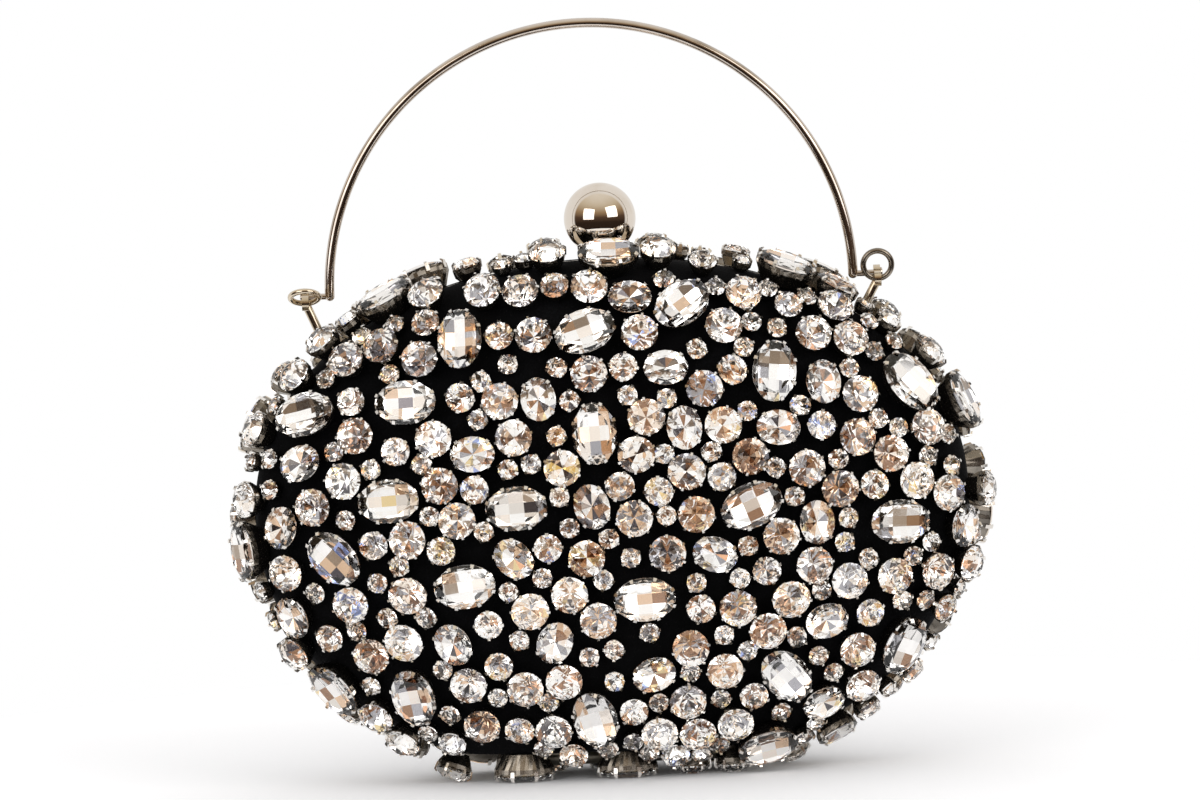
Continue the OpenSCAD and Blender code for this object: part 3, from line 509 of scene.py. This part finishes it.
def makeHandle():
    # half circle of round wire, (r cos a, r sin a), whose ends turn outward into pins
    a = np.linspace(0, np.pi, handle["steps"])
    r = handle["span"] / 2
    sides = handle["sides"]
    path = np.stack([handle["shift"] + r * np.cos(a), np.full(a.size, handle["pivotY"]),
                     handle["pivotZ"] + r * np.sin(a)], 1)
    tangents = np.stack([-np.sin(a), 0 * a, np.cos(a)], 1)
    wire = circle(handle["wire"] / 2, sides)
    points, allFaces = carried(path, tangents, wire, np.array([0, 1.0, 0]), False)
    allPoints = [points]
    count = len(points)
    # a knuckle, the pin and its riveted cap: radii along X from the wire's centre
    end = handle["reach"] + handle["lug"] / 2 + handle["clearance"]
    w, p, cap, t = handle["wire"] / 2, handle["pin"] / 2, handle["cap"] / 2, handle["capThickness"]
    rise = np.linspace(-np.pi / 2, 0.9, 10)
    along = np.concatenate([w * np.sin(rise), [end, end, end + 0.25 * t, end + 0.7 * t, end + t]])
    radius = np.concatenate([np.maximum(w * np.cos(rise), 0.02 * mm),
                             [p, cap * 0.92, cap, cap * 0.9, 0.1 * mm]])
    ring = circle(1, sides)
    last = (len(along) - 1) * sides
    pin = gridFaces(len(along), sides).tolist()
    pin += [list(range(sides)), list(range(last, last + sides))[::-1]]
    for side in (-1, 1):
        x = handle["shift"] + side * (r + along)[:, None] + 0 * ring[None, :, 0]
        y = handle["pivotY"] + radius[:, None] * ring[None, :, 0]
        z = handle["pivotZ"] + radius[:, None] * ring[None, :, 1]
        allPoints.append(np.stack([x, y, z], -1).reshape(-1, 3))
        allFaces += [[v + count for v in f[::side]] for f in pin]
        count += x.size
    piece = makeMesh("bailHandle", np.concatenate(allPoints), allFaces, [nickelWire])
    piece.data.set_sharp_from_angle(angle=math.radians(40))
    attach(piece, "handle")
    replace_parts(piece, "handle")


def makeRing(name, side, swing, body, node, material):
    # a torus, a circle of wire carried round (r cos a, r sin a), swung about X in the lug's front eye
    r = (rings["diameter"] - rings["wire"]) / 2
    a = np.linspace(0, 2 * np.pi, rings["steps"], endpoint=False)
    path = np.stack([r * np.cos(a), r * np.sin(a) - r, 0 * a], 1)
    tangents = np.stack([-np.sin(a), np.cos(a), 0 * a], 1)
    wire = circle(rings["wire"] / 2, rings["sides"])
    points, faces = carried(path, tangents, wire, np.array([0, 0, 1.0]), True)
    turn = math.radians(-swing)
    y = points[:, 1] * math.cos(turn) - points[:, 2] * math.sin(turn)
    z = points[:, 1] * math.sin(turn) + points[:, 2] * math.cos(turn)
    x = points[:, 0] + handle["shift"] + side * (handle["span"] / 2 + handle["reach"])
    placed = np.stack([x, y + rings["eyeY"], z + rings["eyeZ"]], 1)
    piece = facingOut(makeMesh(name, placed, faces, [material]))
    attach(piece, body)
    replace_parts(piece, node)


def makeBall():
    # a sphere: circles r cos(lat) wide at height r sin(lat), closed by fans at the poles
    rows, cols = ball["rows"], ball["cols"]
    lat = np.linspace(-np.pi / 2, np.pi / 2, rows + 2)[1:-1]
    lon = np.arange(cols) * 2 * np.pi / cols
    r = ball["diameter"] / 2
    x = r * np.cos(lat)[:, None] * np.cos(lon)[None, :]
    y = r * np.cos(lat)[:, None] * np.sin(lon)[None, :]
    z = r * np.sin(lat)[:, None] + 0 * x
    points = np.stack([x, y, z], -1).reshape(-1, 3)
    points = np.concatenate([points, [[0, 0, -r], [0, 0, r]]]) + [0, 0, ball["z"]]
    n = rows * cols
    faces = gridFaces(rows, cols).tolist()
    faces += [[(k + 1) % cols, k, n] for k in range(cols)]
    faces += [[n - cols + k, n - cols + (k + 1) % cols, n + 1] for k in range(cols)]
    piece = facingOut(makeMesh("catchBall", points, faces, [nickelBall]))
    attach(piece, bodyOf("clasp_ball"))
    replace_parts(piece, "clasp_ball")


makeHandle()
makeRing("leftSpareRing", -1, rings["leftSwing"], "ring_left", "ring_left", paleGold)
# the right spare ring takes the wire darkened as painted shade
makeRing("rightSpareRing", 1, rings["rightSwing"], "ring_right", "ring_right", ringPaintedShade)
makeBall()
print("fittings made")

# stones: each one's place is found from its own solid in the frame
stoneKinds = {
    # top: height above the velvet; facets: how many go round; crownShare: the crown's part of the
    # height; row: where the foiled back's row of facets lies, none for the tiled back
    "large_oval": {"top": 6.1 * mm, "facets": 12, "crownShare": 0.2, "tableShare": 0.7, "midShare": 0.86,
                   "row": None, "depthShare": 0.4, "footShare": 0.7, "pleats": 22, "claws": 8,
                   "clawWidth": 0.9 * mm},
    "medium_oval": {"top": 5.2 * mm, "facets": 10, "crownShare": 0.24, "tableShare": 0.62, "midShare": 0.83,
                    "row": 0.6, "depthShare": 0.46, "footShare": 0.7, "pleats": 16, "claws": 4,
                    "clawWidth": 0.9 * mm},
    "large_round": {"top": 6.1 * mm, "facets": 8, "crownShare": 0.3, "tableShare": 0.52, "midShare": 0.8,
                    "row": 0.55, "depthShare": 1.0, "footShare": 0.62, "pleats": 12, "claws": 6,
                    "clawWidth": 0.6 * mm},
    "medium_round": {"top": 4.8 * mm, "facets": 8, "crownShare": 0.3, "tableShare": 0.5, "midShare": 0.78,
                     "row": 0.5, "depthShare": 1.0, "footShare": 0.62, "pleats": 8, "claws": 4,
                     "clawWidth": 0.85 * mm},
    "small_round": {"top": 3.4 * mm, "facets": 6, "crownShare": 0.3, "tableShare": 0.5, "midShare": 0.78,
                    "row": 0.45, "depthShare": 1.0, "footShare": 0.62, "pleats": 6, "claws": 4,
                    "clawWidth": 0.75 * mm},
}
stoneCut = {
    "floor": 0.4 * mm,  # of the cup, inside
    "girdle": 0.3 * mm,
    "clearance": 0.05 * mm,
    "overhang": 0.26 * mm,  # the glass covers the cup's lip
    "backGap": 0.15 * mm,  # between the stone's point and the cup's floor
    "midHeight": 0.55,  # of the crown, where its middle row lies
    "backCurve": 0.85,
}
cup = {
    "pleat": 0.16 * mm,  # how deep a pleat folds in
    "wall": 0.2 * mm,
    "sideGap": 0.03 * mm,  # from the stone's edge to the wall
    "waistIn": 0.1 * mm,
    # heights below the girdle
    "waist": 1.6 * mm,
    "shoulder": 0.7 * mm,
    "lip": 0.35 * mm,
    "seat": 0.75 * mm,
    "floorShare": 0.3,
    # a claw's cross sections in millimetres: inner out and up, outer out and up, share of its width
    "claw": [(-0.10, -1.2, 0.12, -1.2, 0.45), (-0.02, -0.05, 0.26, -0.05, 0.5),
             (-0.10, 0.42, 0.30, 0.60, 0.45), (-0.56, 0.86, -0.36, 1.16, 0.35)],
}
# painted reflections and glints: tones painted on the foiled facets in place of what they would mirror, and
# how many of each
paintedReflectionShares = {
    "#ffffff": 0.58,
    "#faf2ea": 0.17,
    "#dcbfa4": 0.1,
    "#9c7a62": 0.05,
    "#a9a9af": 0.05,
    "#5a565a": 0.025,
    "#f0dcae": 0.018,
    "#a9b8ea": 0.007,
}
# painted shade: facets round the middle of a stone's back take the dark tones this many times as often; a
# tone is dark where its brightest channel is under the limit
corePaintedShade = 4
darkLimit = 0.6


def stonePlaces(node):
    # splits a node's mesh into stones by spreading the lowest label over shared corners, and reads
    # each stone's table, axis and long side from its triangles
    mesh = frame["nodes"][node].data
    co = np.empty(len(mesh.vertices) * 3)
    mesh.vertices.foreach_get("co", co)
    mesh.calc_loop_triangles()
    tri = np.empty(len(mesh.loop_triangles) * 3, dtype=np.int64)
    mesh.loop_triangles.foreach_get("vertices", tri)
    whole = np.round(co.reshape(-1, 3) / (0.001 * mm)).astype(np.int64)  # corners to a micrometre
    places, index = np.unique(whole, axis=0, return_inverse=True)
    corners = index.ravel()[tri].reshape(-1, 3)
    label = np.arange(len(places))
    while True:
        low = label.copy()
        np.minimum.at(low, corners.ravel(), np.repeat(label[corners].min(axis=1), 3))
        low = low[low]
        if (low == label).all():
            break
        label = low
    places = places * 0.001 * mm
    a, b, c = (places[corners[:, k]] for k in range(3))
    cross = np.cross(b - a, c - a)
    area = np.linalg.norm(cross, axis=1) + 1e-20
    normal = cross / area[:, None]
    middle = (a + b + c) / 3
    owner = label[corners[:, 0]]
    found = []
    for one in np.unique(owner):
        mine = owner == one
        group = np.unique(np.round(normal[mine], 2), axis=0, return_inverse=True)[1].ravel()
        table = group == np.argmax(np.bincount(group, weights=area[mine]))
        axis = (normal[mine][table] * area[mine][table][:, None]).sum(0)
        axis /= np.linalg.norm(axis)
        weight = area[mine][table]
        top = (middle[mine][table] * weight[:, None]).sum(0) / weight.sum()
        own = places[np.unique(corners[mine])] - top
        flat = own - np.outer(own @ axis, axis)
        u = np.linalg.eigh(flat.T @ flat)[1][:, 2]
        v = np.cross(axis, u)
        found.append({"top": top, "axis": axis, "u": u, "v": v,
                      "length": np.abs(flat @ u).max(), "width": np.abs(flat @ v).max()})
    return found


def crownTemplate(n, tableShare, midShare):
    # top of a brilliant cut on unit radius: table, then a row of n points half a step on, then the
    # girdle of 2 n points; returns points (x, y, share of the crown's height) and faces
    step = 2 * np.pi / n
    k = np.arange(n)
    half = (k + 0.5) * step
    tableRow = np.stack([tableShare * np.cos(k * step), tableShare * np.sin(k * step), np.ones(n)], 1)
    midRow = np.stack([midShare * np.cos(half), midShare * np.sin(half),
                       np.full(n, stoneCut["midHeight"])], 1)
    g = np.arange(2 * n)
    edge = np.stack([np.cos(g * step / 2), np.sin(g * step / 2), np.zeros(2 * n)], 1)
    after, before = (k + 1) % n, (k - 1) % n
    stars = np.stack([k, n + k, after], 1)
    kites = np.stack([k, n + before, 2 * n + 2 * k, n + k], 1)
    upperLeft = np.stack([n + k, 2 * n + 2 * k, 2 * n + 2 * k + 1], 1)
    upperRight = np.stack([n + k, 2 * n + 2 * k + 1, 2 * n + (2 * k + 2) % (2 * n)], 1)
    faces = [list(range(n))] + stars.tolist() + kites.tolist() + upperLeft.tolist() + upperRight.tolist()
    return np.concatenate([tableRow, midRow, edge]), faces


def girdleFaces(n, edgeCount):
    # triangles from the girdle's 2 n points to n points half a step on, numbered from edgeCount
    k = np.arange(n)
    faces = np.stack([edgeCount + k, 2 * k + 1, 2 * k], 1).tolist()
    faces += np.stack([edgeCount + k, (2 * k + 2) % edgeCount, 2 * k + 1], 1).tolist()
    return faces + np.stack([edgeCount + (k - 1) % n, edgeCount + k, 2 * k], 1).tolist()


def tiledPavilion():
    # foiled back of a large oval on unit radius: nine flat tiles, a 4 by 4 grid of points whose depth
    # is 1 - fall * (x * x + y * y), joined to a girdle; the outer points run round from 15 degrees
    outerCount = 12
    edgeCount = 2 * outerCount
    g = np.arange(edgeCount)
    edge = np.stack([np.cos(g * np.pi / 12), np.sin(g * np.pi / 12), np.zeros(edgeCount)], 1)
    near, far, fall = 0.24, 0.66, 0.97
    quarter = np.array([[far, near], [far, far], [near, far]])
    outer = np.concatenate([quarter, quarter[::-1] * [-1, 1], -quarter, quarter[::-1] * [1, -1]])
    inner = np.array([[near, near], [-near, near], [-near, -near], [near, -near]])
    flat = np.concatenate([outer, inner])
    points = np.concatenate([edge, np.column_stack([flat, 1 - fall * (flat ** 2).sum(axis=1)])])
    # a corner tile and a side tile for each inner point, then the middle one
    innerFirst = edgeCount + outerCount
    tiles = []
    for q in range(4):
        a, b, c = edgeCount + 3 * q, edgeCount + 3 * q + 1, edgeCount + 3 * q + 2
        after = edgeCount + (3 * q + 3) % outerCount
        tiles += [[a, b, c, innerFirst + q], [c, after, innerFirst + (q + 1) % 4, innerFirst + q]]
    tiles.append([innerFirst + q for q in range(4)])
    return points, girdleFaces(outerCount, edgeCount) + [t[::-1] for t in tiles]


def pavilionTemplate(n, share):
    # foiled back on unit radius: from the girdle of 2 n points through a row of n, half a step on and
    # (1 - share) ^ backCurve deep, to a point
    step = 2 * np.pi / n
    g, k = np.arange(2 * n), np.arange(n)
    half = (k + 0.5) * step
    edge = np.stack([np.cos(g * step / 2), np.sin(g * step / 2), np.zeros(2 * n)], 1)
    deep = np.full(n, (1 - share) ** stoneCut["backCurve"])
    row = np.stack([share * np.cos(half), share * np.sin(half), deep], 1)
    mains = np.stack([2 * n + (k + 1) % n, 2 * n + k, np.full(n, 3 * n)], 1)
    return np.concatenate([edge, row, [[0, 0, 1.0]]]), girdleFaces(n, 2 * n) + mains.tolist()


def repeated(template, faces, count):
    size = len(template)
    return [[v + j * size for v in face] for j in range(count) for face in faces]


def placedPoints(template, stones, foot):
    # template x, y in metres along each stone's sides and z up its axis from its foot
    out = []
    for stone, local in zip(stones, template):
        base = stone["top"] - foot * stone["axis"]
        out.append(base + local[:, :1] * stone["u"] + local[:, 1:2] * stone["v"]
                   + local[:, 2:] * stone["axis"])
    return np.concatenate(out)


def girdleHeight(kind):
    top = stoneKinds[kind]["top"]
    return top - stoneKinds[kind]["crownShare"] * (top - stoneCut["floor"])


def makeStones(name, kind, stones, body):
    # crown of clear glass over a foiled pavilion, one closed shape per stone
    size = stoneKinds[kind]
    n = size["facets"]
    crown, crownFaces = crownTemplate(n, size["tableShare"], size["midShare"])
    pavilion, pavilionFaces = pavilionTemplate(n, size["row"]) if size["row"] else tiledPavilion()
    girdle = girdleHeight(kind)
    crownHeight = size["top"] - girdle - stoneCut["girdle"] / 2
    depth = size["depthShare"] * (girdle - stoneCut["girdle"] / 2 - stoneCut["floor"] - stoneCut["backGap"])
    both = np.concatenate([
        np.column_stack([crown[:, :2], girdle + stoneCut["girdle"] / 2 + crown[:, 2] * crownHeight]),
        np.column_stack([pavilion[:, :2], girdle - stoneCut["girdle"] / 2 - pavilion[:, 2] * depth])])
    shift = len(crown)
    g = np.arange(2 * n)
    after = (g + 1) % (2 * n)
    band = np.stack([2 * n + g, shift + g, shift + after, 2 * n + after], 1).tolist()
    faces = crownFaces + band + [[v + shift for v in f] for f in pavilionFaces]
    slots = ([0] * (len(crownFaces) + len(band)) + [1] * len(pavilionFaces)) * len(stones)
    over = stoneCut["overhang"]
    template = [both * [s["length"] + over, s["width"] + over, 1] for s in stones]
    points = placedPoints(template, stones, size["top"])
    piece = makeMesh(name, points, repeated(both, faces, len(stones)), [crystal, foil], False, slots)
    # one painted reflection tone per foiled facet
    tones = np.array([linear(c) for c in paintedReflectionShares])
    shares = np.array(list(paintedReflectionShares.values()))
    coreShares = shares * np.where(tones[:, :3].max(axis=1) < darkLimit, corePaintedShade, 1)
    count = len(piece.data.polygons)
    coreCount = n if size["row"] else 0
    core = np.tile(np.arange(len(faces)) >= len(faces) - coreCount, len(stones))
    pick = np.where(core, rng.choice(len(tones), size=count, p=coreShares / coreShares.sum()),
                    rng.choice(len(tones), size=count, p=shares / shares.sum()))
    colours = tones[pick]
    colours[np.array(slots) == 0] = linear("#ffffff")
    sides = np.empty(count, dtype=np.int32)
    piece.data.polygons.foreach_get("loop_total", sides)
    layer = piece.data.color_attributes.new("facetPaintedReflection", "FLOAT_COLOR", "CORNER")
    layer.data.foreach_set("color", np.repeat(colours, sides, axis=0).ravel())
    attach(piece, body)
    return piece


def cupPoints(size, stone, girdle):
    # a stamped wall: rows (x and y radii, height, pleated or not) times a circle, from the foot up
    # to the lip and back down inside to the floor
    cols = 2 * size["pleats"]
    ring = circle(1, cols)
    fold = np.where(np.arange(cols) % 2 == 0, 0.0, -cup["pleat"])
    outer = np.array([stone["length"], stone["width"]]) + stoneCut["overhang"] - cup["sideGap"]
    inner = outer - cup["wall"]
    rows = [
        (outer * size["footShare"], stoneCut["clearance"], 0),
        (outer - cup["waistIn"], girdle - cup["waist"], 1),
        (outer, girdle - cup["shoulder"], 1),
        (outer, girdle - cup["lip"], 0),
        (inner, girdle - cup["lip"], 0),
        (inner, girdle - cup["seat"], 0),
        (inner * cup["floorShare"], stoneCut["floor"], 0),
    ]
    wall = [np.column_stack([ring * (r + pleat * fold[:, None]), np.full(cols, z)]) for r, z, pleat in rows]
    # claws: four cross sections of four corners each, up the wall and over the edge
    claws = size["claws"]
    c = (np.arange(claws) + 0.5) * 2 * np.pi / claws
    outward = np.stack([np.cos(c) / outer[0], np.sin(c) / outer[1]], 1)
    outward /= np.linalg.norm(outward, axis=1, keepdims=True)
    across = np.stack([-outward[:, 1], outward[:, 0]], 1)
    onWall = np.stack([np.cos(c) * outer[0], np.sin(c) * outer[1]], 1)
    corners = []
    for inOut, inUp, outOut, outUp, half in cup["claw"]:
        reach = half * size["clawWidth"]
        for out, up, s in ((inOut, inUp, -1), (outOut, outUp, -1), (outOut, outUp, 1), (inOut, inUp, 1)):
            corners.append(np.column_stack([onWall + out * mm * outward + s * reach * across,
                                            np.full(claws, girdle + up * mm)]))
    return np.concatenate(wall + [np.stack(corners, 1).reshape(-1, 3)]), len(rows)


def makeCups(name, kind, stones, body):
    # stamped cup: a pleated wall from the foot to the girdle, and claws bent over the stone's edge
    size = stoneKinds[kind]
    cols = 2 * size["pleats"]
    made = [cupPoints(size, stone, girdleHeight(kind)) for stone in stones]
    template = [points for points, _ in made]
    rows = made[0][1]
    start = rows * cols
    wallFaces = gridFaces(rows, cols).tolist()
    wallFaces += [list(range(cols))[::-1], list(range(start - cols, start))]
    claw = gridFaces(4, 4).tolist() + [[3, 2, 1, 0], [12, 13, 14, 15]]
    clawFaces = [[start + 16 * j + v for v in f] for j in range(size["claws"]) for f in claw]
    # cup walls take the plating darkened as painted shade, the claws the plating lightened as painted
    # highlight
    slots = ([0] * len(wallFaces) + [1] * len(clawFaces)) * len(stones)
    faces = repeated(template[0], wallFaces + clawFaces, len(stones))
    points = placedPoints(template, stones, size["top"])
    piece = makeMesh(name, points, faces, [cupWallPaintedShade, clawPaintedHighlight], False, slots)
    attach(piece, body)
    return piece


for half in ("front", "back"):
    body = bodyOf(half + "_velvet")
    for kind in stoneKinds:
        stones = stonePlaces(half + "_" + kind + "_gems")
        name = half + kind.title().replace("_", "")
        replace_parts(makeStones(name + "Stones", kind, stones, body), half + "_" + kind + "_gems")
        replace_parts(makeCups(name + "Cups", kind, stones, body), half + "_" + kind + "_cups")
    # the stones under the base are of two kinds, told apart by their length
    under = stonePlaces(half + "_base_gems")
    for kind in ("large_oval", "large_round"):
        stones = [s for s in under if (s["length"] > 5 * mm) == (kind == "large_oval")]
        name = half + "Base" + kind.title().replace("_", "")
        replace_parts(makeStones(name + "Stones", kind, stones, body), half + "_base_gems")
        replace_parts(makeCups(name + "Cups", kind, stones, body), half + "_base_cups")
    print(half, "stones set")

# finishes of the solids that stay as they are
finishes = {
    "back_shell": board, "front_shell": board,
    "back_frame": paleGold, "front_frame": paleGold,
    # the hinge parts take the plating darkened as painted shade under the base
    "back_hinge_leaf": hingePaintedShade, "front_hinge_leaf": hingePaintedShade, "hinge_pin": hingePaintedShade,
    "clasp_lever": paleGold, "clasp_bracket": paleGold, "clasp_pin": paleGold, "clasp_keeper": paleGold,
    "clasp_spring": springSteel, "lug_left": paleGold, "lug_right": paleGold,
}
for node, material in finishes.items():
    solid = frame["nodes"][node]
    if not solid.material_slots:
        solid.data.materials.append(material)
    for slot in solid.material_slots:
        slot.material = material

setCamera()
setWorld()
setSoftboxes()
makeFloor()
print("scene ready")
